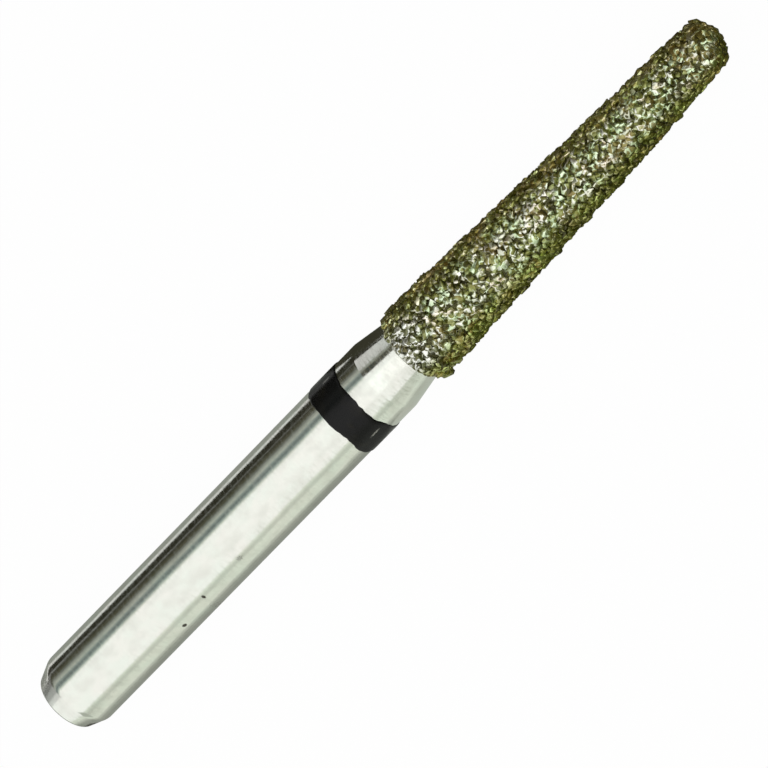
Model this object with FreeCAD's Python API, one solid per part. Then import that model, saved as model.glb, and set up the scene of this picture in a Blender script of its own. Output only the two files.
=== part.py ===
import FreeCAD, Part
import math
import os
import random

# A dental bur for an air-turbine handpiece, lying along +X with its tip at +X.
# The origin is the centre of the shank's end face. All sizes are millimetres.

# Steel blank, turned in one piece
shank_radius = 0.80
shank_length = 9.55
shank_end_radius = 0.64
shank_end_taper = 0.42
shank_end_rounding = 0.08
shank_taper_rounding = 0.30
neck_length = 0.78
neck_end_radius = 0.68

# Head of the blank under the coat, measured to the tip of the bond
head_length = 8.56
head_taper_deg = 2.10
tip_edge_radius = 0.20
tip_dome_radius = 0.80

# Lacquer band
band_width = 0.70
band_setback = 0.45
band_thickness = 0.02
band_edge_rounding = 0.03

# Nickel bond
bond_thickness = 0.096
bond_edge_thickness = 0.045
bond_edge_taper = 0.32
hollow_place_spread = 0.3

# Diamond grains
grain_pitch = 0.25
fewest_grains = 4
grain_height = 0.062
grain_height_spread = 0.022
proud_grain_height = 0.045
proud_grain_share = 0.06
edge_lump_height = 0.15
grain_place_spread = 0.16
grain_face_tilt_deg = 18.0
grain_top_share = 0.46
least_ridge_share = 0.15
grain_pattern = 11
resting_turn_deg = 66.4

full_turn = 2 * math.pi
head_start = shank_length + neck_length
head_taper = math.radians(head_taper_deg)
core_end = head_start + head_length - bond_thickness
resting_turn = math.radians(resting_turn_deg)


def point(x, radius):
    """A point of an outline, in the plane that is turned about the bur's axis."""
    return FreeCAD.Vector(x, radius, 0)


def rounded_corner(before, corner, after, radius):
    """The two ends and the middle of the arc that rounds one corner of an outline."""
    to_before = (before - corner).normalize()
    to_after = (after - corner).normalize()
    half_angle = to_before.getAngle(to_after) / 2
    inward = (to_before + to_after).normalize()
    centre = corner + inward * (radius / math.sin(half_angle))
    reach = radius / math.tan(half_angle)
    return corner + to_before * reach, centre - inward * radius, corner + to_after * reach


def rounded_edges(corners):
    """Lines through (point, rounding) pairs, with an arc at each corner that has a rounding."""
    edges = []
    last = corners[0][0]
    for index in range(1, len(corners) - 1):
        before = corners[index - 1][0]
        corner, rounding = corners[index]
        after = corners[index + 1][0]
        if rounding:
            start, middle, end = rounded_corner(before, corner, after, rounding)
            edges.append(Part.makeLine(last, start))
            edges.append(Part.Arc(start, middle, end).toShape())
            last = end
        else:
            edges.append(Part.makeLine(last, corner))
            last = corner
    edges.append(Part.makeLine(last, corners[-1][0]))
    return edges


def tip_edges(line_start, offset):
    """The taper, rounded edge and shallow dome of the head, at an offset outside the blank."""
    edge_radius = tip_edge_radius + offset
    dome_radius = tip_dome_radius + offset
    dome_centre = core_end - tip_dome_radius
    outward = point(math.sin(head_taper), math.cos(head_taper))
    reach = outward.dot(point(head_start, neck_end_radius)) + offset - edge_radius
    between = dome_radius - edge_radius
    turn = math.asin((reach - math.sin(head_taper) * dome_centre) / between) - head_taper
    edge_centre = point(dome_centre + between * math.cos(turn), between * math.sin(turn))
    middle_turn = (math.pi / 2 - head_taper + turn) / 2
    taper_end = edge_centre + outward * edge_radius
    edge_middle = edge_centre + point(math.cos(middle_turn), math.sin(middle_turn)) * edge_radius
    dome_start = edge_centre + point(math.cos(turn), math.sin(turn)) * edge_radius
    dome_middle = point(dome_centre + dome_radius * math.cos(turn / 2), dome_radius * math.sin(turn / 2))
    tip = point(core_end + offset, 0)
    return [
        Part.makeLine(line_start, taper_end),
        Part.Arc(taper_end, edge_middle, dome_start).toShape(),
        Part.Arc(dome_start, dome_middle, tip).toShape(),
    ]


def turned(edges):
    """The solid that an outline from the axis back to the axis gives when it is turned."""
    face = Part.Face(Part.Wire(edges))
    return face.revolve(point(0, 0), point(1, 0), math.degrees(full_turn))


def make_steel_blank():
    """Shank with a tapered end, neck cone and the tapered head that carries the coat."""
    neck_end = point(head_start, neck_end_radius)
    edges = rounded_edges([
        (point(0, 0), 0),
        (point(0, shank_end_radius), shank_end_rounding),
        (point(shank_end_taper, shank_radius), shank_taper_rounding),
        (point(shank_length, shank_radius), 0),
        (neck_end, 0),
    ])
    edges += tip_edges(neck_end, 0)
    edges.append(Part.makeLine(point(core_end, 0), point(0, 0)))
    return turned(edges)


def make_colour_band():
    """A ring of lacquer on the shank, with rounded edges."""
    band_end = shank_length - band_setback
    band_start = band_end - band_width
    outer_radius = shank_radius + band_thickness
    edges = rounded_edges([
        (point(band_start, shank_radius), 0),
        (point(band_start + band_edge_rounding, outer_radius), band_edge_rounding),
        (point(band_end - band_edge_rounding, outer_radius), band_edge_rounding),
        (point(band_end, shank_radius), 0),
    ])
    edges.append(Part.makeLine(point(band_end, shank_radius), point(band_start, shank_radius)))
    return turned(edges)


def bond_outline():
    """The outer surface of the bond, from its thin edge beside the neck to the tip."""
    blank_radius = neck_end_radius - bond_edge_taper * math.tan(head_taper)
    full_radius = blank_radius + bond_thickness / math.cos(head_taper)
    edge_start = point(head_start, neck_end_radius + bond_edge_thickness)
    edge_end = point(head_start + bond_edge_taper, full_radius)
    return Part.Wire([Part.makeLine(edge_start, edge_end)] + tip_edges(edge_end, bond_thickness))


def around(flat, angle):
    """A point or direction of the outline's plane, turned about the bur's axis."""
    return FreeCAD.Vector(flat.x, flat.y * math.cos(angle), flat.y * math.sin(angle))


class Grain:
    """One crystal: where it sits, which way it faces, and the hollows around it."""

    def __init__(self, seat, along, angle, height):
        outward = point(-along.y, along.x)
        self.angle = angle
        self.seat = around(seat, angle)
        self.along = around(along, angle)
        self.outward = around(outward, angle)
        self.height = height
        self.hollows = []

    def sorted_hollows(self):
        """The hollows in their order round the crystal."""
        across = self.outward.cross(self.along)

        def heading(hollow):
            away = hollow - self.seat
            return math.atan2(away.dot(across), away.dot(self.along))

        return sorted(self.hollows, key=heading)


def grain_rings(outline, draw):
    """Rings of grains, one pitch apart along the outline, with the last grain on the tip."""
    ring_count = round(outline.Length / grain_pitch + 0.5)
    stations = outline.discretize(Number=2 * ring_count)
    rings = []
    for index in range(1, 2 * ring_count - 1, 2):
        seat = stations[index]
        along = (stations[index + 1] - stations[index - 1]).normalize()
        count = max(fewest_grains, round(full_turn * seat.y / grain_pitch))
        start = draw.random()
        ring = []
        for number in range(count):
            turn = (number + start + draw.uniform(-grain_place_spread, grain_place_spread)) / count
            shift = along * (grain_pitch * draw.uniform(-grain_place_spread, grain_place_spread))
            angle = resting_turn + full_turn * turn
            ring.append(Grain(seat + shift, along, angle, grain_rise(draw)))
        rings.append(ring)
    rings.append([Grain(stations[-1], point(0, -1), resting_turn, grain_rise(draw))])
    lump = min(rings[0], key=lambda grain: grain.seat.y)
    lump.height = edge_lump_height
    return rings


def grain_rise(draw):
    """How far a grain stands out of the bond. A few stand out further."""
    rise = grain_height + draw.uniform(-grain_height_spread, grain_height_spread)
    if draw.random() < proud_grain_share:
        rise += proud_grain_height
    return rise


def add_hollow(grains, draw):
    """A low point of the bond between three neighbouring grains."""
    weights = [1 + draw.uniform(-hollow_place_spread, hollow_place_spread) for grain in grains]
    hollow = FreeCAD.Vector(0, 0, 0)
    for grain, weight in zip(grains, weights):
        hollow += grain.seat * (weight / sum(weights))
    for grain in grains:
        grain.hollows.append(hollow)


def unrolled(ring, step):
    """The angle of the ring's grain number step, counted on past a full turn."""
    turns, number = divmod(step, len(ring))
    return ring[number].angle + full_turn * turns


def join_rings(lower, upper, draw):
    """Hollows between two neighbouring rings, in triangles that go once round both."""
    start = lower[0].angle
    offset = min(range(-len(upper), len(upper)), key=lambda step: abs(unrolled(upper, step) - start))
    low_step = 0
    high_step = 0
    high_steps = len(upper) if len(upper) > 1 else 0
    while low_step < len(lower) or high_step < high_steps:
        low = lower[low_step % len(lower)]
        high = upper[(offset + high_step) % len(upper)]
        next_low = unrolled(lower, low_step + 1)
        next_high = unrolled(upper, offset + high_step + 1)
        if high_step == high_steps or (low_step < len(lower) and next_low < next_high):
            low_step += 1
            add_hollow([low, high, lower[low_step % len(lower)]], draw)
        else:
            high_step += 1
            add_hollow([low, high, upper[(offset + high_step) % len(upper)]], draw)


def make_rim(ring):
    """The coat's edge beside the neck: one point between each two grains of the first ring."""
    rim = []
    edge = point(head_start, neck_end_radius + bond_edge_thickness)
    for number, grain in enumerate(ring):
        angle = (grain.angle + unrolled(ring, number + 1)) / 2
        corner = around(edge, angle)
        rim.append(corner)
        grain.hollows.append(corner)
        ring[(number + 1) % len(ring)].hollows.append(corner)
    return rim


def flat_face(corners):
    """The flat face inside a ring of corners."""
    return Part.Face(Part.makePolygon(corners + [corners[0]]))


def cut_shares(grain, peak, hollows, facing):
    """How far down each ridge, from the peak to a hollow, the crystal's top face cuts it."""
    top = grain.seat + grain.outward * grain.height
    shares = []
    for hollow in hollows:
        shares.append((top - peak).dot(facing) / (hollow - peak).dot(facing))
    return shares


def crystal_faces(grain, draw):
    """The sides and the flat top of one crystal, standing on its ring of hollows."""
    hollows = grain.sorted_hollows()
    peak = grain.seat + grain.outward * (grain.height / (1 - grain_top_share))
    across = grain.outward.cross(grain.along)
    heading = draw.uniform(0, full_turn)
    lean = grain.along * math.cos(heading) + across * math.sin(heading)
    tilt = math.radians(grain_face_tilt_deg) * draw.random()
    shares = cut_shares(grain, peak, hollows, grain.outward + lean * math.tan(tilt))
    while min(shares) < least_ridge_share or max(shares) > 1 - least_ridge_share:
        tilt /= 2
        shares = cut_shares(grain, peak, hollows, grain.outward + lean * math.tan(tilt))
    top = [peak + (hollow - peak) * share for hollow, share in zip(hollows, shares)]
    faces = [flat_face(top)]
    for number in range(len(hollows)):
        after = (number + 1) % len(hollows)
        faces.append(flat_face([hollows[number], hollows[after], top[after], top[number]]))
    return faces


def make_diamond_coat(blank):
    """Nickel bond with diamond crystals held in it, plated round the blank's head."""
    draw = random.Random(grain_pattern)
    rings = grain_rings(bond_outline(), draw)
    for lower, upper in zip(rings, rings[1:]):
        join_rings(lower, upper, draw)
    faces = [flat_face(make_rim(rings[0]))]
    for ring in rings:
        for grain in ring:
            faces += crystal_faces(grain, draw)
    skin = Part.makeShell(faces)
    skin.sewShape()
    filled = Part.makeSolid(skin)
    if filled.Volume < 0:
        filled.reverse()
    return filled.cut(blank)


def main():
    os.makedirs("parts", exist_ok=True)
    blank = make_steel_blank()
    pieces = {
        "steel_blank": blank,
        "colour_band": make_colour_band(),
        "diamond_coat": make_diamond_coat(blank),
    }
    for name, piece in pieces.items():
        piece.exportStep("parts/" + name + ".step")
        box = piece.BoundBox
        print(name, "valid", piece.isValid(), "solids", len(piece.Solids), "faces", len(piece.Faces),
              "volume", round(piece.Volume, 5), "x", round(box.XMin, 3), round(box.XMax, 3),
              "y", round(box.YMin, 3), round(box.YMax, 3), "z", round(box.ZMin, 3), round(box.ZMax, 3))


main()
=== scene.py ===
import math
import random

import bmesh
import bpy
import numpy
from bpy.props import FloatProperty, FloatVectorProperty, PointerProperty
from mathutils import Matrix, Vector, noise


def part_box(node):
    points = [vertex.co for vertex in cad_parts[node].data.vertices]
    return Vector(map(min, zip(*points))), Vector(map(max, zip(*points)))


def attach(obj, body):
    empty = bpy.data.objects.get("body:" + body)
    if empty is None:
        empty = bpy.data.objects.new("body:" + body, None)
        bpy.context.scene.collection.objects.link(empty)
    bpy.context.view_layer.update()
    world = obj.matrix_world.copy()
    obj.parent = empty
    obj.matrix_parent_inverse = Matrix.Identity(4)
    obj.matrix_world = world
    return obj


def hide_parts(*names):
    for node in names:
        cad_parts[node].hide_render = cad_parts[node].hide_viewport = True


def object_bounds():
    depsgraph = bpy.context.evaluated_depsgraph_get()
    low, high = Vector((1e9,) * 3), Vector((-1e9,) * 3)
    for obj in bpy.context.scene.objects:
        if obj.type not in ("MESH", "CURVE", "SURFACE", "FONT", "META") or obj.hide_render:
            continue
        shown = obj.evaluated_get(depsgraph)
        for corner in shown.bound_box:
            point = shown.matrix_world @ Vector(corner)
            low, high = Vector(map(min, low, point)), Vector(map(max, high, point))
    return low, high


bl_info = {
    "name": "Diamond dental bur",
    "version": (1, 0, 0),
    "blender": (4, 5, 0),
    "location": "View3D > Sidebar > Bur",
    "description": "Makes the visible pieces of a diamond dental bur and a small studio round it",
    "category": "Object",
}

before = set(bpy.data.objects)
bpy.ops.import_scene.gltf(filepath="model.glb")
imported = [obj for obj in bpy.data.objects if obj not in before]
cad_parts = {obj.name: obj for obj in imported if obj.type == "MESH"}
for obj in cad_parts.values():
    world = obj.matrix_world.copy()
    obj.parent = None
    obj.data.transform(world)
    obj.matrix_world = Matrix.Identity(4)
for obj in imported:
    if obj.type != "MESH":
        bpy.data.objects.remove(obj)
cad_low, cad_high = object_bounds()
coat_low, coat_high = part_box("diamond_coat")

MM = 0.001
TURN = 2 * math.pi

# Faces round each turned skin, and the radius below which a point lies on the axis
FINE_SEGMENTS = 256
BOND_SEGMENTS = 180
ON_AXIS = 1e-9


def length(name, description, millimetres):
    return FloatProperty(name=name, description=description, default=millimetres * MM,
                         unit="LENGTH", subtype="DISTANCE", precision=6)


def colour(name, description, red, green, blue):
    return FloatVectorProperty(name=name, description=description, default=(red, green, blue),
                               size=3, min=0.0, max=1.0, subtype="COLOR")


class BurSizes(bpy.types.PropertyGroup):
    """Sizes of the bur's pieces."""
    shank_radius: length("Shank radius", "Radius of the plain shank", 0.80)
    shank_length: length("Shank length", "From the shank's end face to the neck cone", 9.55)
    shank_end_radius: length("Shank end radius", "Radius of the shank's end face", 0.64)
    shank_end_taper: length("Shank end taper", "Length of the taper at the shank's end", 0.42)
    shank_end_rounding: length("End face rounding", "Rounding round the end face", 0.08)
    shank_taper_rounding: length("End taper rounding", "Rounding where the end taper meets the shank", 0.30)
    neck_length: length("Neck length", "Length of the cone between the shank and the head", 0.78)
    neck_end_radius: length("Neck end radius", "Radius of the blank where the head starts", 0.68)
    neck_rounding: length("Neck rounding", "Rounding where the shank meets the neck cone", 0.03)
    head_length: length("Head length", "From the neck cone to the tip of the bond", 8.56)
    head_taper: FloatProperty(name="Head taper", description="Slope of the head's side",
                              default=math.radians(2.10), unit="ROTATION", subtype="ANGLE")
    tip_edge_radius: length("Tip edge radius", "Rounding of the tip's edge on the blank", 0.20)
    tip_dome_radius: length("Tip dome radius", "Radius of the shallow dome on the blank's tip", 0.80)
    band_width: length("Band width", "Width of the lacquer band", 0.70)
    band_setback: length("Band setback", "From the band to the neck cone", 0.45)
    band_thickness: length("Band thickness", "How far the lacquer stands out", 0.0175)
    bond_thickness: length("Bond thickness", "Thickness of the nickel bond", 0.096)
    bond_edge_thickness: length("Bond edge thickness", "Thickness of the bond's edge at the neck", 0.045)
    bond_edge_taper: length("Bond edge taper", "Length over which the bond's edge thickens", 0.32)
    grain_size: length("Crystal size", "Mean distance across a diamond crystal", 0.190)
    grain_spacing: length("Crystal spacing", "Least distance between two crystals", 0.098)
    grain_rise: length("Crystal rise", "How far a crystal stands out of the bond", 0.060)
    grain_lean: FloatProperty(name="Crystal lean", description="Most that a crystal leans from upright",
                              default=math.radians(24), unit="ROTATION", subtype="ANGLE")
    tip_lean: length("Tip lean", "How much thicker the coat is on one side of the tip", 0.035)


class BurColours(bpy.types.PropertyGroup):
    """Colours of the bur's finishes."""
    steel: colour("Steel", "Bright ground steel", 0.86, 0.875, 0.80)
    steel_green: colour("Steel green", "Faint green cast in the ground steel", 0.82, 0.885, 0.80)
    steel_pink: colour("Steel pink", "Faint warm cast in the ground steel", 0.88, 0.86, 0.80)
    steel_dim: colour("Dim steel", "Ground steel where it is a little hazed", 0.78, 0.79, 0.72)
    # Also the colour of the painted shadow on the corner of the shank's end
    steel_mark_and_painted_shadow: colour("Steel mark", "Small pits and flecks", 0.06, 0.055, 0.04)
    lacquer: colour("Lacquer", "Black lacquer of the band", 0.004, 0.004, 0.004)
    lacquer_warm: colour("Warm lacquer", "Lacquer where it dried thicker", 0.010, 0.009, 0.006)
    # Colour of the painted highlights on the band
    lacquer_painted_highlight: colour("Lacquer scuff", "Light scuffs on the lacquer", 0.30, 0.30, 0.27)
    bond: colour("Bond", "Plated nickel between the crystals", 0.045, 0.042, 0.008)
    bond_light: colour("Light bond", "Plated nickel where it catches the light", 0.16, 0.155, 0.07)
    bond_rim: colour("Bond rim", "Bare nickel at the coat's edge", 0.72, 0.72, 0.64)
    stone_dark: colour("Dark crystal", "Deep olive of the darkest crystals", 0.060, 0.056, 0.005)
    stone_olive: colour("Olive crystal", "Yellow-green of most crystals", 0.225, 0.238, 0.045)
    stone_moss: colour("Moss crystal", "Lightest green of the crystals", 0.44, 0.49, 0.20)
    stone_brown: colour("Brown crystal", "Brown cast of some crystals", 0.34, 0.255, 0.085)
    stone_ash: colour("Ash crystal", "Blackish grey of the crystals beside the neck", 0.060, 0.060, 0.035)
    plate_grey: colour("Grey plating", "Nickel film on the darker shining faces", 0.66, 0.69, 0.52)
    plate_cream: colour("Cream plating", "Nickel film on the brightest faces", 1.0, 1.0, 0.90)
    plate_green: colour("Green plating", "Green cast over patches of the plating", 0.84, 1.0, 0.78)
    plate_pink: colour("Pink plating", "Warm cast over patches of the plating", 1.0, 0.90, 0.84)
    plate_white: colour("White plating", "Nickel film on the faces beside the neck", 0.92, 0.93, 0.88)
    stone_tint: colour("Crystal tint", "Tint of glancing reflections on the crystals", 0.75, 0.73, 0.35)
    # Painted shade: darkens the coat's -Y flank and turns it olive, for the dim side light there
    painted_shade_olive: colour("Olive flank", "Tint of the coat on its -Y side", 0.69, 0.68, 0.29)
    # Painted reflection: turns the coat's +Y flank brown, for the warm dark cards on that side
    painted_reflection_brown: colour("Brown flank", "Tint of the coat on its +Y side", 1.0, 0.93, 0.62)
    floor: colour("Floor", "Pale floor", 0.90, 0.90, 0.90)


class StudioSizes(bpy.types.PropertyGroup):
    """Camera and lamps."""
    lens: FloatProperty(name="Lens", description="Focal length of the camera in millimetres", default=342.2)
    distance: length("Camera distance", "From the aim point to the camera", 135.0)
    camera_rise: FloatProperty(name="Camera rise", description="Camera direction above the floor",
                               default=math.radians(65.6), unit="ROTATION", subtype="ANGLE")
    camera_roll: FloatProperty(name="Camera roll", description="Slant of the bur in the picture",
                               default=math.radians(45.67), unit="ROTATION", subtype="ANGLE")
    aim_along: length("Aim along the bur", "Point of the bur's axis that the shifts start from", 10.16)
    shift_right: length("Shift right", "How far that point is right of the picture's centre", 0.4116)
    shift_up: length("Shift up", "How far that point is above the picture's centre", 0.5632)
    tent_radius: length("Tent radius", "Distance of the soft lamps and cards from the bur", 80.0)
    tent_half_length: length("Tent half length", "Half the length of the lamps and cards", 120.0)
    light_level: FloatProperty(name="Light level", description="Brightness of the overhead softbox",
                               default=1.02)


# Outlines

def place(x, radius):
    """A point of an outline: along the bur, and out from its axis."""
    return Vector((x, radius))


def rounded_corner(before, corner, after, rounding, steps):
    """Points of the arc that rounds one corner of an outline."""
    to_before = (before - corner).normalized()
    to_after = (after - corner).normalized()
    half_angle = to_before.angle(to_after) / 2
    inward = (to_before + to_after).normalized()
    centre = corner + inward * (rounding / math.sin(half_angle))
    start = corner + to_before * (rounding / math.tan(half_angle)) - centre
    end = corner + to_after * (rounding / math.tan(half_angle)) - centre
    points = []
    for step in range(steps + 1):
        share = step / steps
        radial = (start * (1 - share) + end * share).normalized()
        points.append(centre + radial * rounding)
    return points


def rounded_outline(corners, steps=10):
    """Points through (point, rounding) pairs, with an arc at each corner that has a rounding."""
    points = [corners[0][0]]
    for (before, _), (corner, rounding), (after, _) in zip(corners, corners[1:], corners[2:]):
        points += rounded_corner(before, corner, after, rounding, steps) if rounding else [corner]
    points.append(corners[-1][0])
    return points


def arc(centre, radius, start, end, steps):
    """Points of an arc between two angles from the bur's axis."""
    points = []
    for step in range(steps + 1):
        angle = start + (end - start) * step / steps
        points.append(centre + place(math.cos(angle), math.sin(angle)) * radius)
    return points


def head_outline(sizes, offset, steps=16):
    """The rounded edge and shallow dome at the end of the head, at an offset outside the blank."""
    head_start = sizes.shank_length + sizes.neck_length
    core_end = head_start + sizes.head_length - sizes.bond_thickness
    edge_radius = sizes.tip_edge_radius + offset
    dome_radius = sizes.tip_dome_radius + offset
    dome_centre = core_end - sizes.tip_dome_radius
    outward = place(math.sin(sizes.head_taper), math.cos(sizes.head_taper))
    reach = outward.dot(place(head_start, sizes.neck_end_radius)) + offset - edge_radius
    between = dome_radius - edge_radius
    turn = math.asin((reach - outward.x * dome_centre) / between) - sizes.head_taper
    edge_centre = place(dome_centre + between * math.cos(turn), between * math.sin(turn))
    points = arc(edge_centre, edge_radius, math.pi / 2 - sizes.head_taper, turn, steps)
    points += arc(place(dome_centre, 0), dome_radius, turn, 0, steps)[1:]
    points[-1].y = 0
    return points


def bond_outline(sizes):
    """The outer surface of the bond, from its edge beside the neck to the tip."""
    head_start = sizes.shank_length + sizes.neck_length
    fall = sizes.bond_edge_taper * math.tan(sizes.head_taper)
    full_radius = sizes.neck_end_radius - fall + sizes.bond_thickness / math.cos(sizes.head_taper)
    edge = place(head_start, sizes.neck_end_radius + sizes.bond_edge_thickness)
    full = place(head_start + sizes.bond_edge_taper, full_radius)
    return [edge, full] + head_outline(sizes, sizes.bond_thickness)


def divided(outline, step, guard=0.0):
    """The outline with its long runs divided, and with a point close to each end of such a run."""
    points = [outline[0]]
    for start, end in zip(outline, outline[1:]):
        run = (end - start).length
        if run > step:
            count = math.ceil(run / step)
            shares = [number / count for number in range(1, count)]
            if guard:
                shares = [guard / run] + shares + [1 - guard / run]
            points += [start.lerp(end, share) for share in shares]
        points.append(end)
    return points


def turned_mesh(name, outline, segments, closed=False, shift=None):
    """The skin that an outline gives when it is turned about the bur's axis.

    A closed outline is joined end to end. Shift moves each point of the skin, by its place and angle.
    """
    points = []
    rings = []
    for along in outline:
        count = 1 if along.y < ON_AXIS else segments
        ring = []
        for number in range(count):
            angle = TURN * number / segments
            x, radius = (along.x, along.y) if shift is None else shift(along.x, along.y, angle)
            ring.append(len(points))
            points.append((x, radius * math.cos(angle), radius * math.sin(angle)))
        rings.append(ring)
    faces = []
    pairs = list(zip(rings, rings[1:]))
    if closed:
        pairs.append((rings[-1], rings[0]))
    for lower, upper in pairs:
        for number in range(segments):
            after = (number + 1) % segments
            corners = [lower[number % len(lower)], lower[after % len(lower)],
                       upper[after % len(upper)], upper[number % len(upper)]]
            faces.append([corner for at, corner in enumerate(corners) if corner not in corners[:at]])
    mesh = bpy.data.meshes.new(name)
    mesh.from_pydata(points, [], faces)
    mesh.update()
    skin = bmesh.new()
    skin.from_mesh(mesh)
    bmesh.ops.recalc_face_normals(skin, faces=skin.faces)
    skin.to_mesh(mesh)
    skin.free()
    mesh.shade_smooth()
    return mesh


def added(name, mesh, material):
    """A new object of the scene with one material."""
    mesh.materials.append(material)
    piece = bpy.data.objects.new(name, mesh)
    bpy.context.scene.collection.objects.link(piece)
    return piece


def finished_piece(piece, node):
    """A piece that stands for a node of the frame and moves with it."""
    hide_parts(node)
    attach(piece, "root")


# Materials

class Nodes:
    """Short calls for placing and joining the nodes of one tree."""

    def __init__(self, tree):
        self.tree = tree

    def add(self, kind, settings=None, **inputs):
        node = self.tree.nodes.new(kind)
        for key, value in (settings or {}).items():
            setattr(node, key, value)
        for key, value in inputs.items():
            self.feed(node.inputs[key.replace("_", " ")], value)
        return node

    def feed(self, socket, value):
        if isinstance(value, bpy.types.NodeSocket):
            self.tree.links.new(value, socket)
        else:
            socket.default_value = value

    def math(self, operation, first, second=0.0):
        node = self.tree.nodes.new("ShaderNodeMath")
        node.operation = operation
        self.feed(node.inputs[0], first)
        self.feed(node.inputs[1], second)
        return node.outputs[0]

    def mix(self, share, first, second):
        """The first colour, and the second one for a share of the way."""
        node = self.tree.nodes.new("ShaderNodeMix")
        node.data_type = "RGBA"
        self.feed(node.inputs["Factor"], share)
        self.feed(node.inputs["A"], first)
        self.feed(node.inputs["B"], second)
        return node.outputs["Result"]

    def tinted(self, share, shade, tint):
        """The shade multiplied by a tint, for a share of the way."""
        node = self.mix(share, shade, tint).node
        node.blend_type = "MULTIPLY"
        return node.outputs["Result"]

    def noise(self, vector, scale, detail=2.0, roughness=0.5):
        """Noise from 0 to 1. The scale is its lumps per metre, or 1 on stretched coordinates."""
        node = self.add("ShaderNodeTexNoise", Vector=vector, Scale=scale, Detail=detail, Roughness=roughness)
        return node.outputs["Fac"]

    def stretched(self, vector, along, across):
        """Coordinates with a number of lumps per metre along the bur, and another across it."""
        node = self.add("ShaderNodeMapping", Vector=vector, Scale=(along, across, across))
        return node.outputs["Vector"]

    def spread(self, value, low, high, out_low=0.0, out_high=1.0):
        """A smooth step of the value between low and high."""
        node = self.add("ShaderNodeMapRange", {"interpolation_type": "SMOOTHSTEP"}, Value=value,
                        From_Min=low, From_Max=high, To_Min=out_low, To_Max=out_high)
        return node.outputs["Result"]

    def attribute(self, name):
        return self.add("ShaderNodeAttribute", {"attribute_name": name}).outputs["Fac"]

    def ramp(self, value, stops):
        """Colours between the stops, which are (value, colour) pairs."""
        node = self.add("ShaderNodeValToRGB", Fac=value)
        ramp = node.color_ramp
        while len(ramp.elements) < len(stops):
            ramp.elements.new(0.5)
        for element, (position, shade) in zip(ramp.elements, stops):
            element.position = position
            element.color = shade
        return node.outputs["Color"]

    def bump(self, surface, height, depth):
        """Relief on a surface, where a height of 1 stands as far out as the depth."""
        node = self.add("ShaderNodeBump", Height=height, Strength=1.0, Distance=depth)
        self.feed(surface.inputs["Normal"], node.outputs["Normal"])

    def show(self, shader, kind="ShaderNodeOutputMaterial"):
        """The tree's output node, which shows the shader."""
        output = self.add(kind)
        self.feed(output.inputs["Surface"], shader)


def opaque(shade):
    return (*shade, 1.0)


def empty_material(name):
    """A material without nodes, and the calls that place them."""
    material = bpy.data.materials.new(name)
    material.use_nodes = True
    material.node_tree.nodes.clear()
    return material, Nodes(material.node_tree)


def new_material(name):
    """A material with a plain Principled surface, and the calls that place its other nodes."""
    material, nodes = empty_material(name)
    surface = nodes.add("ShaderNodeBsdfPrincipled")
    nodes.show(surface.outputs["BSDF"])
    return material, nodes, surface


def spot_group():
    """A small mark on a surface: its mask is 1 inside an uneven oval and 0 outside."""
    name = "Small mark"
    if name in bpy.data.node_groups:
        return bpy.data.node_groups[name]
    group = bpy.data.node_groups.new(name, "ShaderNodeTree")
    group.interface.new_socket("Centre", in_out="INPUT", socket_type="NodeSocketVector")
    group.interface.new_socket("Half Size", in_out="INPUT", socket_type="NodeSocketVector")
    group.interface.new_socket("Raggedness", in_out="INPUT", socket_type="NodeSocketFloat")
    group.interface.new_socket("Mask", in_out="OUTPUT", socket_type="NodeSocketFloat")
    nodes = Nodes(group)
    inputs = group.nodes.new("NodeGroupInput")
    output = group.nodes.new("NodeGroupOutput")
    where = nodes.add("ShaderNodeTexCoord").outputs["Object"]
    away = nodes.add("ShaderNodeVectorMath", {"operation": "SUBTRACT"})
    nodes.feed(away.inputs[0], where)
    nodes.feed(away.inputs[1], inputs.outputs["Centre"])
    scaled = nodes.add("ShaderNodeVectorMath", {"operation": "DIVIDE"})
    nodes.feed(scaled.inputs[0], away.outputs[0])
    nodes.feed(scaled.inputs[1], inputs.outputs["Half Size"])
    distance = nodes.add("ShaderNodeVectorMath", {"operation": "LENGTH"})
    nodes.feed(distance.inputs[0], scaled.outputs[0])
    wobble = nodes.math("SUBTRACT", nodes.noise(where, 30000.0, 3.0), 0.5)
    uneven = nodes.math("MULTIPLY_ADD", wobble, inputs.outputs["Raggedness"])
    nodes.feed(uneven.node.inputs[2], distance.outputs["Value"])
    nodes.feed(output.inputs["Mask"], nodes.spread(uneven, 0.7, 1.1, 1.0, 0.0))
    return group


def spot(nodes, centre, half_size, raggedness=1.0):
    """The mask of one small mark. Places and sizes are millimetres."""
    node = nodes.add("ShaderNodeGroup", {"node_tree": spot_group()})
    node.inputs["Centre"].default_value = Vector(centre) * MM
    node.inputs["Half Size"].default_value = Vector(half_size) * MM
    node.inputs["Raggedness"].default_value = raggedness
    return node.outputs["Mask"]


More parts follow.
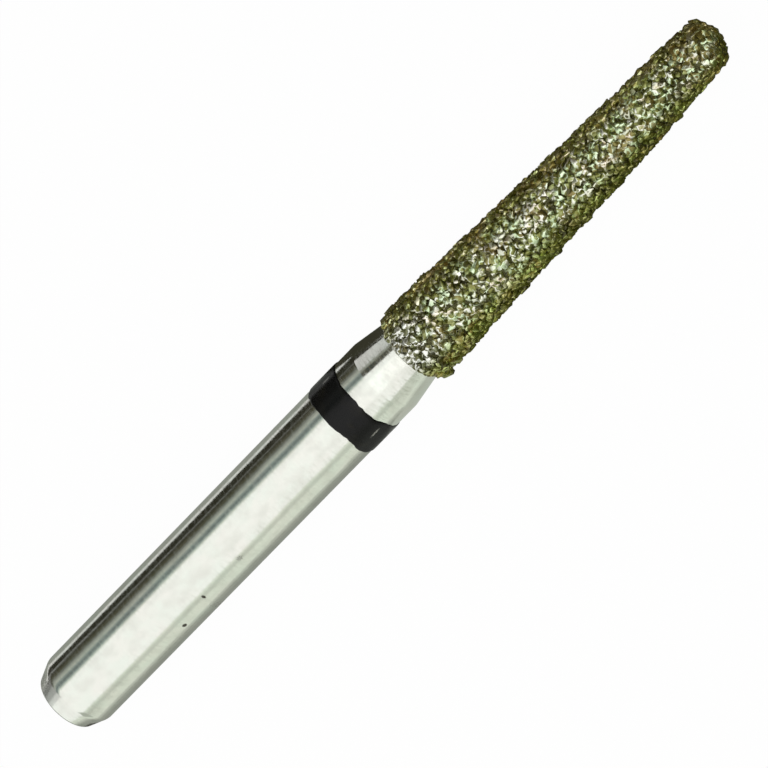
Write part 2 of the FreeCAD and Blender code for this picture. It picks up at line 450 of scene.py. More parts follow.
def steel_material(colours):
    """Bright steel with fine rings from centreless grinding, a few small flecks, and a painted shadow on the
    corner of the shank's end.
    """
    material, nodes, surface = new_material("ground_steel")
    where = nodes.add("ShaderNodeTexCoord").outputs["Object"]
    rings = nodes.noise(nodes.stretched(where, 22000.0, 5000.0), 1.0, 3.0, 0.65)
    clouds = nodes.noise(nodes.stretched(where, 1600.0, 2400.0), 1.0, 2.0)
    shade = nodes.mix(nodes.spread(clouds, 0.3, 0.7), opaque(colours.steel_green), opaque(colours.steel_pink))
    shade = nodes.mix(0.5, shade, opaque(colours.steel))
    haze = nodes.noise(nodes.stretched(where, 2600.0, 3600.0), 1.0, 1.5)
    shade = nodes.mix(nodes.spread(haze, 0.4, 0.75), shade, opaque(colours.steel_dim))
    # Specks of the photo's side, and a painted shadow on the corner of the shank's end
    pits_and_painted_shadow = [
        spot(nodes, (3.20, -0.59, 0.54), (0.05, 0.05, 0.06), 0.6),
        spot(nodes, (3.96, -0.47, 0.65), (0.035, 0.05, 0.08), 0.6),
        spot(nodes, (0.15, -0.67, 0.24), (0.17, 0.15, 0.19), 0.8),
    ]
    # Faint smears of the same side
    faint_marks = [
        spot(nodes, (5.08, -0.44, 0.67), (0.07, 0.05, 0.08), 1.2),
        spot(nodes, (3.86, -0.78, 0.20), (0.09, 0.10, 0.40), 2.4),
        spot(nodes, (0.15, 0.55, 0.35), (0.20, 0.20, 0.30), 3.0),
    ]
    marks = faint_marks[0]
    for mark in faint_marks[1:]:
        marks = nodes.math("MAXIMUM", marks, mark)
    marks = nodes.math("MULTIPLY", marks, 0.35)
    for mark in pits_and_painted_shadow:
        marks = nodes.math("MAXIMUM", marks, mark)
    nodes.feed(surface.inputs["Base Color"], nodes.mix(marks, shade, opaque(colours.steel_mark_and_painted_shadow)))
    nodes.feed(surface.inputs["Metallic"], nodes.spread(marks, 0.0, 1.0, 1.0, 0.2))
    dull = nodes.spread(rings, 0.35, 0.75, 0.10, 0.24)
    nodes.feed(surface.inputs["Roughness"], nodes.math("ADD", dull, nodes.math("MULTIPLY", marks, 0.3)))
    waves = nodes.noise(nodes.stretched(where, 900.0, 1500.0), 1.0, 1.0)
    height = nodes.math("ADD", rings, nodes.math("MULTIPLY", waves, 6.0))
    nodes.bump(surface, height, 0.0014 * MM)
    return material


def lacquer_material(colours):
    """Black lacquer with the slight waves that a brushed-on ring dries with."""
    material, nodes, surface = new_material("black_lacquer")
    where = nodes.add("ShaderNodeTexCoord").outputs["Object"]
    waves = nodes.noise(nodes.stretched(where, 4500.0, 2200.0), 1.0, 2.0)
    dust = nodes.noise(where, 26000.0, 2.0)
    # Two painted highlights on the band: light streaks where the band shows reflections
    highlight_streak = spot(nodes, (8.81, -0.62, 0.55), (0.17, 0.022, 0.03), 1.0)
    glint = spot(nodes, (8.80, 0.72, 0.40), (0.12, 0.02, 0.05), 1.6)
    painted_highlights = nodes.math("MAXIMUM", nodes.math("MULTIPLY", highlight_streak, 0.8), nodes.math("MULTIPLY", glint, 0.4))
    shade = nodes.mix(nodes.spread(waves, 0.5, 0.8), opaque(colours.lacquer), opaque(colours.lacquer_warm))
    shade = nodes.mix(painted_highlights, shade, opaque(colours.lacquer_painted_highlight))
    nodes.feed(surface.inputs["Base Color"], shade)
    nodes.feed(surface.inputs["Roughness"], nodes.spread(dust, 0.3, 0.8, 0.20, 0.36))
    surface.inputs["IOR"].default_value = 1.30
    nodes.bump(surface, waves, 0.006 * MM)
    return material


def bond_material(colours, head_start):
    """Plated nickel: dark and nodular between the crystals, bare and light at the coat's edge."""
    material, nodes, surface = new_material("nickel_bond")
    where = nodes.add("ShaderNodeTexCoord").outputs["Object"]
    along = nodes.add("ShaderNodeSeparateXYZ", Vector=where).outputs["X"]
    nodules = nodes.noise(where, 22000.0, 4.0, 0.6)
    edge = nodes.math("MULTIPLY_ADD", nodules, 0.16 * MM)
    edge.node.inputs[2].default_value = head_start + 0.02 * MM
    bare = nodes.spread(nodes.math("SUBTRACT", edge, along), -0.30 * MM, 0.10 * MM)
    shade = nodes.mix(nodes.spread(nodules, 0.35, 0.7), opaque(colours.bond), opaque(colours.bond_light))
    nodes.feed(surface.inputs["Base Color"], nodes.mix(bare, shade, opaque(colours.bond_rim)))
    surface.inputs["Metallic"].default_value = 0.6
    nodes.feed(surface.inputs["Roughness"], nodes.spread(nodules, 0.3, 0.8, 0.30, 0.50))
    nodes.bump(surface, nodules, 0.03 * MM)
    return material


def grain_material(colours, head_start, head_end):
    """Olive industrial diamond. Faces with a film of nickel shine, and the others are matt stone."""
    material, nodes, surface = new_material("diamond_crystals")
    where = nodes.add("ShaderNodeTexCoord").outputs["Object"]
    parts = nodes.add("ShaderNodeSeparateXYZ", Vector=where).outputs
    crystal = nodes.attribute("crystal_tone")
    face = nodes.attribute("face_tone")
    top = nodes.spread(nodes.attribute("face_top"), 0.70, 0.90)
    clouds = nodes.noise(where, 9000.0, 2.0)
    areas = nodes.noise(where, 2600.0, 2.0)
    casts = nodes.noise(where, 3400.0, 1.5)
    from_vein = nodes.math("ABSOLUTE", nodes.math("SUBTRACT", nodes.noise(where, 7000.0, 1.0), 0.5))
    vein = nodes.spread(from_vein, 0.03, 0.10, 1.0, 0.0)

    # Where on the head: -1 on its -Y side to 1 on its +Y side, and near the neck or the tip
    squares = nodes.math("ADD", nodes.math("POWER", parts["Y"], 2.0), nodes.math("POWER", parts["Z"], 2.0))
    sideways = nodes.math("DIVIDE", parts["Y"], nodes.math("SQRT", squares))
    off_sides = nodes.spread(nodes.math("ABSOLUTE", sideways), 0.5, 0.85, 1.0, 0.15)
    by_neck = nodes.spread(parts["X"], head_start + 0.25 * MM, head_start + 1.1 * MM, 0.9, 0.0)
    by_neck = nodes.math("MULTIPLY", by_neck, off_sides)
    by_tip = nodes.spread(parts["X"], head_end - 0.75 * MM, head_end - 0.15 * MM)

    # Bare stone, brown in patches and at the tip, and ashen beside the neck
    depth = nodes.math("MULTIPLY", crystal, 0.6)
    depth = nodes.math("ADD", depth, nodes.spread(clouds, 0.35, 0.65, 0.0, 0.4))
    stone = nodes.ramp(depth, [
        (0.15, opaque(colours.stone_dark)),
        (0.50, opaque(colours.stone_olive)),
        (0.85, opaque(colours.stone_moss)),
    ])
    browned = nodes.spread(areas, 0.50, 0.66, 0.0, 0.7)
    browned = nodes.math("MAXIMUM", browned, nodes.math("MULTIPLY", by_tip, 0.5))
    stone = nodes.mix(browned, stone, opaque(colours.stone_brown))
    stone = nodes.mix(nodes.math("MULTIPLY", by_neck, 0.75), stone, opaque(colours.stone_ash))

    # Plated faces, green or warm in patches and white beside the neck
    plate = nodes.mix(face, opaque(colours.plate_grey), opaque(colours.plate_cream))
    plate = nodes.tinted(nodes.spread(casts, 0.46, 0.60), plate, opaque(colours.plate_green))
    plate = nodes.tinted(nodes.spread(casts, 0.42, 0.32), plate, opaque(colours.plate_pink))
    plate = nodes.mix(by_neck, plate, opaque(colours.plate_white))

    # The plating lies most on the crystals' tops and along the veins
    shares = ((crystal, 0.14), (clouds, 0.08), (top, 0.26), (vein, 0.46), (by_neck, 0.06), (by_tip, 0.02))
    shine = nodes.math("MULTIPLY", face, 0.22)
    for value, weight in shares:
        shine = nodes.math("ADD", shine, nodes.math("MULTIPLY", value, weight))
    plated = nodes.spread(shine, 0.50, 0.84)

    shade = nodes.mix(plated, stone, plate)
    # Painted shade and reflection: the -Y flank darkened and turned olive, the +Y flank turned brown
    shade = nodes.tinted(nodes.spread(sideways, -0.40, -0.78, 0.0, 1.0), shade, opaque(colours.painted_shade_olive))
    shade = nodes.tinted(nodes.spread(sideways, 0.40, 0.85, 0.0, 1.0), shade, opaque(colours.painted_reflection_brown))
    nodes.feed(surface.inputs["Base Color"], shade)
    nodes.feed(surface.inputs["Metallic"], nodes.spread(plated, 0.0, 1.0, 0.78, 0.95))
    nodes.feed(surface.inputs["Roughness"], nodes.spread(plated, 0.0, 1.0, 0.38, 0.32))
    surface.inputs["Specular Tint"].default_value = opaque(colours.stone_tint)
    surface.inputs["Coat Weight"].default_value = 0.6
    surface.inputs["Coat Roughness"].default_value = 0.26
    surface.inputs["Coat IOR"].default_value = 1.6
    height = nodes.math("ADD", nodes.noise(where, 9000.0, 1.0), nodes.math("MULTIPLY", vein, 0.45))
    nodes.bump(surface, height, 0.010 * MM)
    return material


# Pieces

def blank_mesh(sizes):
    """The turned steel blank: end taper, shank, neck cone and the head under the coat."""
    head_start = sizes.shank_length + sizes.neck_length
    core_end = head_start + sizes.head_length - sizes.bond_thickness
    head = head_outline(sizes, 0.0)
    corners = [
        (place(0, 0), 0),
        (place(0, sizes.shank_end_radius), sizes.shank_end_rounding),
        (place(sizes.shank_end_taper, sizes.shank_radius), sizes.shank_taper_rounding),
        (place(sizes.shank_length, sizes.shank_radius), sizes.neck_rounding),
        (place(head_start, sizes.neck_end_radius), sizes.neck_rounding / 4),
        (head[0], 0),
    ]
    outline = rounded_outline(corners) + head[1:]
    outline[-1] = place(core_end, 0)
    return turned_mesh("steel_blank_skin", divided(outline, 0.25 * MM, 0.01 * MM), FINE_SEGMENTS)


def band_mesh(sizes):
    """The ring of lacquer: its edges wander and thin out, as a brushed-on ring's do."""
    middle = sizes.shank_length - sizes.band_setback - sizes.band_width / 2
    half = sizes.band_width / 2
    edge_steps = 16
    inside = sizes.shank_radius - 0.004 * MM
    outline = []
    for step in range(edge_steps + 1):
        across = math.pi * step / edge_steps
        rise = min(1.0, math.sin(across) * 2.2)
        x = middle - half * math.cos(across)
        outline.append(place(x, sizes.shank_radius + sizes.band_thickness * rise))
    outline = divided(outline, 0.03 * MM)
    inner = [place(middle + half * share, inside) for share in (0.96, -0.96)]

    # The edges wander slowly and quickly round the shank, the one nearer its end leans more, and the
    # lacquer thins here and there
    def wander(x, radius, angle):
        around = Vector((math.cos(angle), math.sin(angle), 0.0)) * 1.6
        side = (x - middle) / half
        slow = noise.noise(around + Vector((0.0, 0.0, 3.1)))
        quick = noise.noise(around * 5.0 + Vector((0.0, 0.0, 9.0 + side)))
        near_start = (1 - side) / 2
        lean = (0.055 + 0.075 * near_start) * math.cos(angle) ** 2
        moved = x + (slow * 0.05 + quick * 0.018) * MM * side - lean * MM
        rise = radius - sizes.shank_radius
        if rise > 0:
            rise *= min(1.0, 1 + 0.25 * noise.noise(around * 2.0 + Vector((0.0, 0.0, x / MM * 2.0))))
        return moved, sizes.shank_radius + rise

    return turned_mesh("colour_band_skin", outline + inner, FINE_SEGMENTS, closed=True, shift=wander)


def bond_mesh(sizes):
    """The bond as a closed shell on the blank, with a nodular outer surface."""
    head_start = sizes.shank_length + sizes.neck_length
    outer = divided(bond_outline(sizes), 0.035 * MM)
    inner = list(reversed(head_outline(sizes, 0.0))) + [place(head_start, sizes.neck_end_radius)]
    inner = divided(inner, 0.5 * MM)
    depth = 0.012 * MM

    def rounded(x, radius):
        return round(x / MM, 5), round(radius / MM, 5)

    outside = {rounded(point.x, point.y) for point in outer}

    def nodular(x, radius, angle):
        if rounded(x, radius) not in outside:
            return x, radius
        here = Vector((x, radius * math.cos(angle), radius * math.sin(angle))) / MM
        lumps = noise.noise(here * 7.0) + 0.5 * noise.noise(here * 16.0)
        return x, radius + depth * lumps - depth

    return turned_mesh("nickel_bond_skin", inner + outer, BOND_SEGMENTS, shift=nodular)


def crystal_planes(draw):
    """Cutting planes of one crystal: a top, sloping shoulders round it, and upright sides."""
    planes = [(math.radians(draw.uniform(74, 90)), draw.uniform(0, TURN), draw.uniform(0.50, 0.66))]
    # The shoulders and then the sides: the least and the greatest slope in degrees, and how many
    for low, high, count in ((28, 58, draw.randint(3, 4)), (-25, 20, draw.randint(4, 5))):
        first = draw.uniform(0, TURN)
        for number in range(count):
            heading = first + TURN * (number + draw.uniform(-0.25, 0.25)) / count
            planes.append((math.radians(draw.uniform(low, high)), heading, draw.uniform(0.62, 0.85)))
    return planes


def crystal_shapes(draw, count):
    """Convex crystals of unit radius with their tops up, each cut from a block by flat planes."""
    shapes = []
    for _ in range(count):
        block = bmesh.new()
        bmesh.ops.create_cube(block, size=2.0)
        for slope, heading, reach in crystal_planes(draw):
            flat = math.cos(slope)
            normal = Vector((flat * math.cos(heading), flat * math.sin(heading), math.sin(slope)))
            parts = block.verts[:] + block.edges[:] + block.faces[:]
            cut = bmesh.ops.bisect_plane(block, geom=parts, plane_co=normal * reach, plane_no=normal,
                                         clear_outer=True)
            rim = [part for part in cut["geom_cut"] if isinstance(part, bmesh.types.BMEdge)]
            if rim:
                bmesh.ops.contextual_create(block, geom=rim)
        bmesh.ops.recalc_face_normals(block, faces=block.faces)
        block.normal_update()
        block.verts.index_update()
        points = numpy.array([vertex.co[:] for vertex in block.verts])
        faces = [([vertex.index for vertex in face.verts], face.normal.copy()) for face in block.faces]
        points -= points.mean(axis=0)
        points /= numpy.abs(points).max()
        shapes.append((points, faces))
        block.free()
    return shapes


# Crystals that break the outline: millimetres along the bur, degrees round it from +Y towards +Z, and rise
NECK_CORNER_CRYSTALS = (
    (10.40, 181, 0.17), (10.40, 172, 0.12), (10.44, 187, 0.13), (10.49, 177, 0.11), (10.45, 163, 0.09),
)
SIDE_CRYSTALS = (
    (10.56, 3, 0.08), (11.47, 0, 0.10), (11.53, 6, 0.09), (11.46, 180, 0.08), (12.02, 178, 0.07),
    (12.70, 182, 0.08), (13.40, 0, 0.07), (14.96, 2, 0.07), (15.70, 0, 0.07), (16.45, 2, 0.08),
    (17.28, 180, 0.08), (17.95, 0, 0.09), (18.17, 3, 0.08),
)

# How the crystals are drawn at random: the share of large ones, and sizes and stretches to draw between
GRAIN_SEED = 5
CRYSTAL_SHAPES = 32
MOST_MISSES = 1500
LARGE_SHARE = 0.12
LARGE_SCALES = (1.2, 1.45)
SMALL_SCALES = (0.75, 1.2)
STRETCHES = ((0.85, 1.2), (0.8, 1.15), (0.8, 1.1))
RISES = (0.5, 1.3)
LARGE_EXTRA_RISE = 0.02 * MM
FIRST_PLACE = 0.045 * MM
SLOPE_STEP = 0.02 * MM
SHARP_EDGE = math.radians(62)


def outline_places(outline):
    """Distances along an outline and its points, for looking places up."""
    points = numpy.array([(point.x, point.y) for point in outline])
    runs = numpy.linalg.norm(numpy.diff(points, axis=0), axis=1)
    return numpy.concatenate([[0.0], numpy.cumsum(runs)]), points


def outline_point(distances, points, distance):
    """The outline's point at a distance along it."""
    return numpy.array([numpy.interp(distance, distances, points[:, axis]) for axis in (0, 1)])


def outline_slope(distances, points, distance):
    """The outline's unit direction at a distance along it."""
    ahead = min(distance + SLOPE_STEP, distances[-1])
    behind = max(distance - SLOPE_STEP, 0.0)
    slope = outline_point(distances, points, ahead) - outline_point(distances, points, behind)
    return slope / numpy.linalg.norm(slope)


def scattered(distances, points, spacing, draw):
    """Random places on the turned outline, each at least one spacing from the others."""
    found = numpy.zeros((0, 3))
    kept = []
    widest = points[:, 1].max()
    misses = 0
    while misses < MOST_MISSES:
        distance = draw.uniform(FIRST_PLACE, distances[-1])
        x, radius = outline_point(distances, points, distance)
        # Narrow parts of the head get fewer tries, in step with their girth
        if draw.random() > radius / widest + 0.02:
            continue
        angle = draw.uniform(0.0, TURN)
        here = numpy.array([x, radius * math.cos(angle), radius * math.sin(angle)])
        if len(found) and ((found - here) ** 2).sum(axis=1).min() < spacing ** 2:
            misses += 1
            continue
        misses = 0
        found = numpy.vstack([found, here])
        kept.append((distance, angle))
    return kept


def crystal_spin(sizes, outward, draw):
    """The turn that stands a crystal on the bond: leaning a little, and any way round."""
    heading = draw.uniform(0, TURN)
    tilt = sizes.grain_lean * draw.uniform(0, 1)
    lean = Matrix.Rotation(tilt, 3, (math.cos(heading), math.sin(heading), 0))
    upright = Vector((0, 0, 1)).rotation_difference(outward).to_matrix()
    return upright @ lean @ Matrix.Rotation(draw.uniform(0, TURN), 3, "Z")


def kept_in_box(points):
    """The points, moved together where they stand out of the coat's box."""
    below = numpy.clip(numpy.array(coat_low) - points.min(axis=0), 0, None)
    above = numpy.clip(points.max(axis=0) - numpy.array(coat_high), 0, None)
    return points + (below - above)


def grain_mesh(sizes):
    """Thousands of diamond crystals held in the bond, as one mesh."""
    draw = random.Random(GRAIN_SEED)
    shapes = crystal_shapes(draw, CRYSTAL_SHAPES)
    distances, points = outline_places(divided(bond_outline(sizes), 0.02 * MM))
    end = distances[-1]
    places = [(*found, 0.0) for found in scattered(distances, points, sizes.grain_spacing, draw)]
    for x, turn_deg, rise in NECK_CORNER_CRYSTALS + SIDE_CRYSTALS:
        distance = float(numpy.interp(x * MM, points[:, 0], distances))
        places.append((distance, math.radians(turn_deg), rise * MM))
    verts = []
    faces = []
    tones = {"crystal_tone": [], "face_tone": [], "face_top": []}
    start = 0
    for distance, angle, proud in places:
        shape, shape_faces = draw.choice(shapes)
        here = outline_point(distances, points, distance)
        slope = outline_slope(distances, points, distance)
        outward = Vector((-slope[1], slope[0] * math.cos(angle), slope[0] * math.sin(angle)))
        large = proud > 0 or draw.random() < LARGE_SHARE
        size = sizes.grain_size / 2 * draw.uniform(*(LARGE_SCALES if large else SMALL_SCALES))
        stretch = Matrix.Diagonal([draw.uniform(low, high) for low, high in STRETCHES])
        spin = crystal_spin(sizes, outward, draw)
        placed = shape @ numpy.array(spin @ stretch).T * size
        top = (placed @ numpy.array(outward)).max()
        rise = sizes.grain_rise * draw.uniform(*RISES)
        if large:
            rise += LARGE_EXTRA_RISE
        # The coat is thicker on the +Y side of the tip, over the last part of the outline
        near_tip = max(0.0, min(1.0, (distance - 0.72 * end) / (0.12 * end)))
        rise += sizes.tip_lean * near_tip * math.cos(angle)
        rise = min(proud, top * 1.5) if proud else min(rise, top * 1.1)
        base = Vector((here[0], here[1] * math.cos(angle), here[1] * math.sin(angle)))
        placed = kept_in_box(placed + numpy.array(base + outward * (rise - top)))
        verts.append(placed)
        tone = draw.random()
        for corners, normal in shape_faces:
            faces.append([start + corner for corner in corners])
            tones["crystal_tone"].append(tone)
            tones["face_tone"].append(draw.random())
            tones["face_top"].append(max(0.0, (spin @ normal).dot(outward)))
        start += len(placed)
    mesh = bpy.data.meshes.new("diamond_crystals_skin")
    mesh.from_pydata(numpy.vstack(verts).tolist(), [], faces)
    for name, values in tones.items():
        attribute = mesh.attributes.new(name, "FLOAT", "FACE")
        attribute.data.foreach_set("value", values)
    mesh.update()
    mesh.shade_smooth()
    mesh.set_sharp_from_angle(angle=SHARP_EDGE)
    return mesh


class BUR_OT_steel_blank(bpy.types.Operator):
    """Make the steel blank of the bur"""
    bl_idname = "bur.steel_blank"
    bl_label = "Steel blank"

    def execute(self, context):
        scene = context.scene
        piece = added("turned_blank", blank_mesh(scene.bur_sizes), steel_material(scene.bur_colours))
        finished_piece(piece, "steel_blank")
        return {"FINISHED"}


class BUR_OT_colour_band(bpy.types.Operator):
    """Make the band of black lacquer"""
    bl_idname = "bur.colour_band"
    bl_label = "Colour band"

    def execute(self, context):
        scene = context.scene
        piece = added("lacquer_band", band_mesh(scene.bur_sizes), lacquer_material(scene.bur_colours))
        finished_piece(piece, "colour_band")
        return {"FINISHED"}


class BUR_OT_diamond_coat(bpy.types.Operator):
    """Make the nickel bond and the diamond crystals that it holds"""
    bl_idname = "bur.diamond_coat"
    bl_label = "Diamond coat"

    def execute(self, context):
        scene = context.scene
        sizes = scene.bur_sizes
        head_start = sizes.shank_length + sizes.neck_length
        bond = added("nickel_bond", bond_mesh(sizes), bond_material(scene.bur_colours, head_start))
        finished_piece(bond, "diamond_coat")
        grains = added("diamond_crystals", grain_mesh(sizes),
                       grain_material(scene.bur_colours, head_start, head_start + sizes.head_length))
        finished_piece(grains, "diamond_coat")
        return {"FINISHED"}


# Studio

WHITE = (1.0, 1.0, 1.0)
GREEN = (0.95, 1.0, 0.90)
TEAL = (0.85, 1.0, 0.97)
WARM = (1.0, 0.98, 0.66)
BROWN = (1.0, 0.85, 0.48)
OLIVE = (0.93, 1.0, 0.40)
PALE_OLIVE = (0.98, 1.0, 0.80)

# The side cards reach this angle from straight up, a little past the horizon, so that no gap shows there
HORIZON_DEG = 91.5


def lamp_material(name, level, shade):
    material, nodes = empty_material(name)
    glow = nodes.add("ShaderNodeEmission", Color=opaque(shade), Strength=level)
    nodes.show(glow.outputs["Emission"])
    return material


def stage_object(name, mesh, material, glossy_only=False, hidden=True):
    """A part of the studio. A hidden one shows only in reflections or lights the bur."""
    thing = added(name, mesh, material)
    thing.visible_camera = not hidden
    if hidden:
        thing.visible_shadow = False
        thing.visible_transmission = False
    if glossy_only:
        thing.visible_diffuse = False


def curved_card(name, start_deg, end_deg, level, shade, studio, ends_mm):
    """A card of the light tent, between two angles from straight up towards +Y."""
    back, front = (end * MM for end in ends_mm)
    steps = 12
    points = []
    for step in range(steps + 1):
        angle = math.radians(start_deg + (end_deg - start_deg) * step / steps)
        y = studio.tent_radius * math.sin(angle)
        z = studio.tent_radius * math.cos(angle)
        points += [(back, y, z), (front, y, z)]
    faces = [(2 * step, 2 * step + 1, 2 * step + 3, 2 * step + 2) for step in range(steps)]
    mesh = bpy.data.meshes.new(name)
    mesh.from_pydata(points, [], faces)
    stage_object(name, mesh, lamp_material(name, level * studio.light_level, shade))


def flat_card(name, corners, level, shade, glossy_only=False):
    mesh = bpy.data.meshes.new(name)
    mesh.from_pydata(corners, [], [(0, 1, 2, 3)])
    stage_object(name, mesh, lamp_material(name, level, shade), glossy_only)


def table_card(name, sides_mm, level, shade, ends_mm):
    """A card on the floor beside the bur, which only its reflections show."""
    back, front = ends_mm
    low, high = sides_mm
    above = cad_low.z + 0.01 * MM
    corners = [(x * MM, y * MM, above) for x, y in ((back, low), (front, low), (front, high), (back, high))]
    flat_card(name, corners, level, shade, glossy_only=True)


def seen_directly(nodes):
    """1 where the camera, a reflection or clear glass looks, and 0 for the light on the bur."""
    path = nodes.add("ShaderNodeLightPath")
    seen = nodes.math("MAXIMUM", path.outputs["Is Camera Ray"], path.outputs["Is Transmission Ray"])
    return nodes.math("MAXIMUM", seen, path.outputs["Is Glossy Ray"])


def floor_material(colours):
    """A pale floor that shows white to the camera and in reflections, and keeps the shadow."""
    material, nodes = empty_material("pale_floor")
    white_share = 0.975
    share = nodes.math("MULTIPLY", seen_directly(nodes), white_share)
    matt = nodes.add("ShaderNodeBsdfDiffuse", Color=opaque(colours.floor))
    glow = nodes.add("ShaderNodeEmission", Color=opaque(WHITE), Strength=1.0)
    glow_share = nodes.add("ShaderNodeMixShader", Fac=share)
    nodes.feed(glow_share.inputs[1], matt.outputs["BSDF"])
    nodes.feed(glow_share.inputs[2], glow.outputs["Emission"])
    nodes.show(glow_share.outputs["Shader"])
    return material


def white_world(scene):
    """A world that is white to the camera and dim grey to everything else."""
    world = bpy.data.worlds.new("white_surround")
    scene.world = world
    world.use_nodes = True
    world.node_tree.nodes.clear()
    nodes = Nodes(world.node_tree)
    level = nodes.spread(seen_directly(nodes), 0.0, 1.0, 0.5, 1.0)
    back = nodes.add("ShaderNodeBackground", Color=opaque(WHITE), Strength=level)
    nodes.show(back.outputs["Background"], "ShaderNodeOutputWorld")


def add_camera(scene, studio):
    """The camera looks down on the bur with its tip leaning towards the lens."""
    rise = studio.camera_rise
    roll = studio.camera_roll
    towards = Vector((math.cos(rise), 0, math.sin(rise)))
    along = Vector((math.sin(rise), 0, -math.cos(rise)))
    side = Vector((0, 1, 0))
    right = along * math.cos(roll) - side * math.sin(roll)
    up = along * math.sin(roll) + side * math.cos(roll)
    aim = Vector((studio.aim_along, 0, 0)) - right * studio.shift_right - up * studio.shift_up
    camera = bpy.data.objects.new("camera", bpy.data.cameras.new("camera"))
    camera.data.lens = studio.lens
    camera.data.sensor_width = 36.0
    camera.data.clip_start = 1 * MM
    camera.data.clip_end = 10.0
    turn = Matrix((right, up, towards)).transposed().to_4x4()
    camera.matrix_world = Matrix.Translation(aim + towards * studio.distance) @ turn
    scene.collection.objects.link(camera)
    scene.camera = camera


def add_floor(colours, ground):
    half = 1.0
    corners = [(-half, -half, ground), (half, -half, ground), (half, half, ground), (-half, half, ground)]
    mesh = bpy.data.meshes.new("floor")
    mesh.from_pydata(corners, [], [(0, 1, 2, 3)])
    stage_object("floor", mesh, floor_material(colours), hidden=False)


def overhead_lamps(studio):
    """The softbox over the bur, in one piece for the shank and in strips for the neck and the head."""
    far = studio.tent_half_length / MM
    by_neck = (-9, 8)
    curved_card("softbox", -56, 34.5, 1.0, WHITE, studio, (-far, -21))
    curved_card("softbox_middle", -24, 20, 1.0, WHITE, studio, (-4, 4))
    curved_card("softbox_middle_near", 20, 36, 1.0, WHITE, studio, by_neck)
    curved_card("softbox_middle_far", -56, -24, 1.0, WHITE, studio, by_neck)
    for number, ends in enumerate(((-21, -4), (4, far)), 1):
        curved_card(f"head_lamp_{number}", -24, 20, 1.46, WHITE, studio, ends)
    for number, ends in enumerate(((-21, -9), (8, far)), 1):
        curved_card(f"head_lamp_near_{number}", 20, 36, 0.60, WHITE, studio, ends)
        curved_card(f"head_lamp_far_{number}", -46, -24, 0.46, PALE_OLIVE, studio, ends)
        curved_card(f"head_side_{number}", -58, -46, 0.18, OLIVE, studio, ends)


def upper_side_cards(studio):
    """The cards on the +Y side: the shank's run of greys, the neck's light edge and the head's dusk."""
    far = studio.tent_half_length / MM
    shank = (-far, -16)
    neck = (-16, 1)
    head = (1, far)
    curved_card("softbox_edge", 34.5, 38.5, 0.70, GREEN, studio, (-far, -21))
    curved_card("softbox_rim", 38.5, 43, 0.36, TEAL, studio, shank)
    curved_card("teal_card", 43, 51, 0.19, TEAL, studio, shank)
    curved_card("teal_edge", 51, 55, 0.29, TEAL, studio, shank)
    curved_card("grey_card", 55, 62, 0.43, GREEN, studio, shank)
    curved_card("grey_edge", 62, 68, 0.31, GREEN, studio, shank)
    curved_card("dim_card", 68, 74, 0.15, GREEN, studio, shank)
    curved_card("dusk_card", 74, 81, 0.075, WARM, studio, shank)
    curved_card("dark_card", 81, HORIZON_DEG, 0.045, WARM, studio, shank)
    curved_card("neck_line_card", 36, 50, 0.055, TEAL, studio, neck)
    curved_card("neck_rim_card", 50, 57, 0.32, GREEN, studio, neck)
    curved_card("neck_light_card", 57, HORIZON_DEG, 0.62, WHITE, studio, neck)
    curved_card("head_rim_card", 36, 55, 0.16, BROWN, studio, head)
    curved_card("dark_front_card", 55, HORIZON_DEG, 0.050, BROWN, studio, head)


def lower_side_cards(studio):
    """The cards on the -Y side, which give the shank its pale green edge."""
    far = studio.tent_half_length / MM
    shank = (-44, -21)
    curved_card("side_wall_top", -62, -56, 0.80, GREEN, studio, shank)
    curved_card("side_wall_strip", -74, -62, 0.62, GREEN, studio, shank)
    curved_card("side_wall", -HORIZON_DEG, -74, 0.77, GREEN, studio, shank)
    curved_card("side_wall_back", -HORIZON_DEG, -56, 0.45, GREEN, studio, (-far, -44))
    curved_card("side_wall_gap", -HORIZON_DEG, -58, 0.08, OLIVE, studio, (-21, -13))
    curved_card("side_wall_neck", -HORIZON_DEG, -58, 0.70, GREEN, studio, (-13, 1))
    curved_card("side_wall_front", -HORIZON_DEG, -58, 0.07, OLIVE, studio, (1, far))


def table_cards(studio):
    """The cards on the floor, which the lower half of the bur reflects."""
    far = studio.tent_half_length / MM
    wide = studio.tent_radius / MM
    shank = (-far, 8.3)
    neck = (8.3, 10.4)
    head = (10.4, far)
    table_card("far_table_card", (-wide, -4.9), 0.76, GREEN, shank)
    table_card("side_table_card", (-4.9, -3.1), 0.52, GREEN, shank)
    table_card("grey_table_card", (-3.1, -2.0), 0.35, GREEN, shank)
    table_card("under_table_card", (-2.0, 2.2), 0.30, GREEN, shank)
    table_card("bright_table_card", (2.2, 3.15), 0.70, WHITE, shank)
    table_card("dark_table_card", (3.15, wide), 0.028, WARM, (-5, 8.3))
    table_card("end_table_card", (3.15, wide), 0.22, WHITE, (-far, -5))
    table_card("neck_far_table_card", (-wide, -4.4), 0.66, GREEN, neck)
    table_card("neck_table_card", (-4.4, 0.9), 0.50, GREEN, neck)
    table_card("neck_dark_table_card", (0.9, 8), 0.040, WARM, neck)
    table_card("neck_light_table_card", (8, wide), 0.60, WHITE, neck)
    table_card("head_table_card", (-wide, -0.9), 0.09, OLIVE, head)
    table_card("head_under_table_card", (-0.9, 0.9), 0.06, OLIVE, head)
    table_card("head_dark_table_card", (0.9, wide), 0.06, BROWN, head)


def end_wall(name, x, sides, ground, top, level, shade):
    """An upright card across one end of the tent, between two places from side to side."""
    low, high = sides
    corners = [(x, low, ground), (x, high, ground), (x, high, top), (x, low, top)]
    flat_card(name, corners, level, shade)


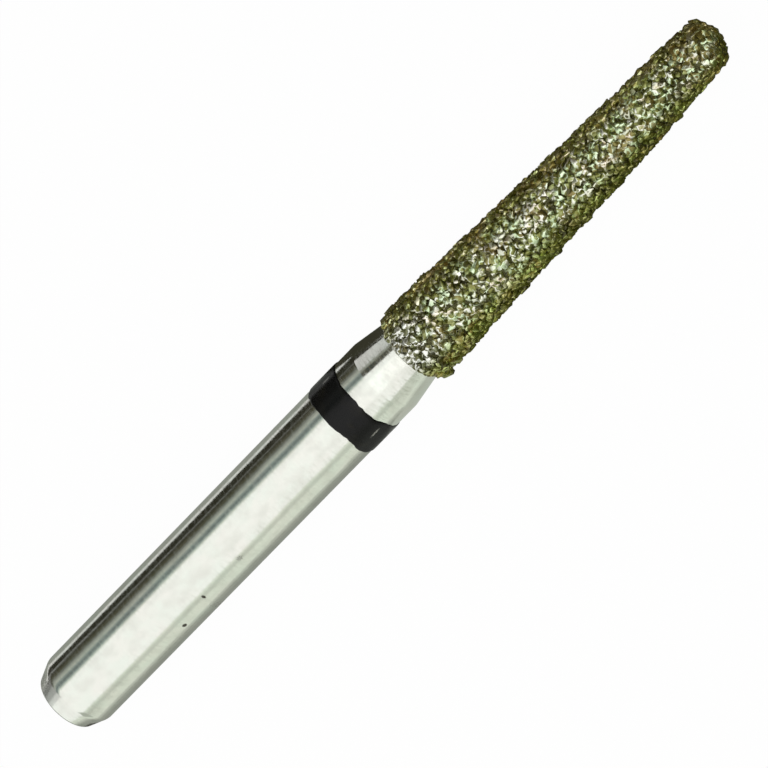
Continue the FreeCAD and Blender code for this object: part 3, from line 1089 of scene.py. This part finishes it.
def end_walls(studio, ground):
    reach = studio.tent_half_length
    out = studio.tent_radius
    side = 30 * MM
    edge = 50 * MM
    end_wall("back_wall", -reach, (-out, side), ground, out, 1.0, WHITE)
    end_wall("grey_back_wall", -reach, (side, edge), ground, out, 0.65, WHITE)
    end_wall("dark_back_wall", -reach, (edge, out), ground, out, 0.38, WHITE)
    end_wall("front_card", reach, (-out, out), ground, out, 0.36, WARM)


class BUR_OT_stage(bpy.types.Operator):
    """Make the floor, the soft lamps and cards, and the camera"""
    bl_idname = "bur.stage"
    bl_label = "Stage"

    def execute(self, context):
        scene = context.scene
        studio = scene.bur_studio
        ground = cad_low.z - 0.005 * MM
        add_camera(scene, studio)
        white_world(scene)
        add_floor(scene.bur_colours, ground)
        overhead_lamps(studio)
        upper_side_cards(studio)
        lower_side_cards(studio)
        table_cards(studio)
        end_walls(studio, ground)
        scene.view_settings.view_transform = "Standard"
        return {"FINISHED"}


class BUR_PT_panel(bpy.types.Panel):
    """Sidebar panel with the bur's pieces, sizes and colours"""
    bl_label = "Diamond bur"
    bl_idname = "BUR_PT_panel"
    bl_space_type = "VIEW_3D"
    bl_region_type = "UI"
    bl_category = "Bur"

    def draw(self, context):
        layout = self.layout
        for operator in OPERATORS:
            layout.operator(operator.bl_idname)
        for group in (context.scene.bur_sizes, context.scene.bur_colours, context.scene.bur_studio):
            box = layout.box()
            for name in group.__annotations__:
                box.prop(group, name)


OPERATORS = (BUR_OT_steel_blank, BUR_OT_colour_band, BUR_OT_diamond_coat, BUR_OT_stage)
GROUPS = {"bur_sizes": BurSizes, "bur_colours": BurColours, "bur_studio": StudioSizes}


def register():
    for group in GROUPS.values():
        bpy.utils.register_class(group)
    for operator in OPERATORS:
        bpy.utils.register_class(operator)
    bpy.utils.register_class(BUR_PT_panel)
    for name, group in GROUPS.items():
        setattr(bpy.types.Scene, name, PointerProperty(type=group))


def unregister():
    for name in GROUPS:
        delattr(bpy.types.Scene, name)
    bpy.utils.unregister_class(BUR_PT_panel)
    for operator in OPERATORS:
        bpy.utils.unregister_class(operator)
    for group in GROUPS.values():
        bpy.utils.unregister_class(group)


def main():
    register()
    bpy.ops.bur.steel_blank()
    bpy.ops.bur.colour_band()
    bpy.ops.bur.diamond_coat()
    bpy.ops.bur.stage()


if __name__ == "__main__":
    main()
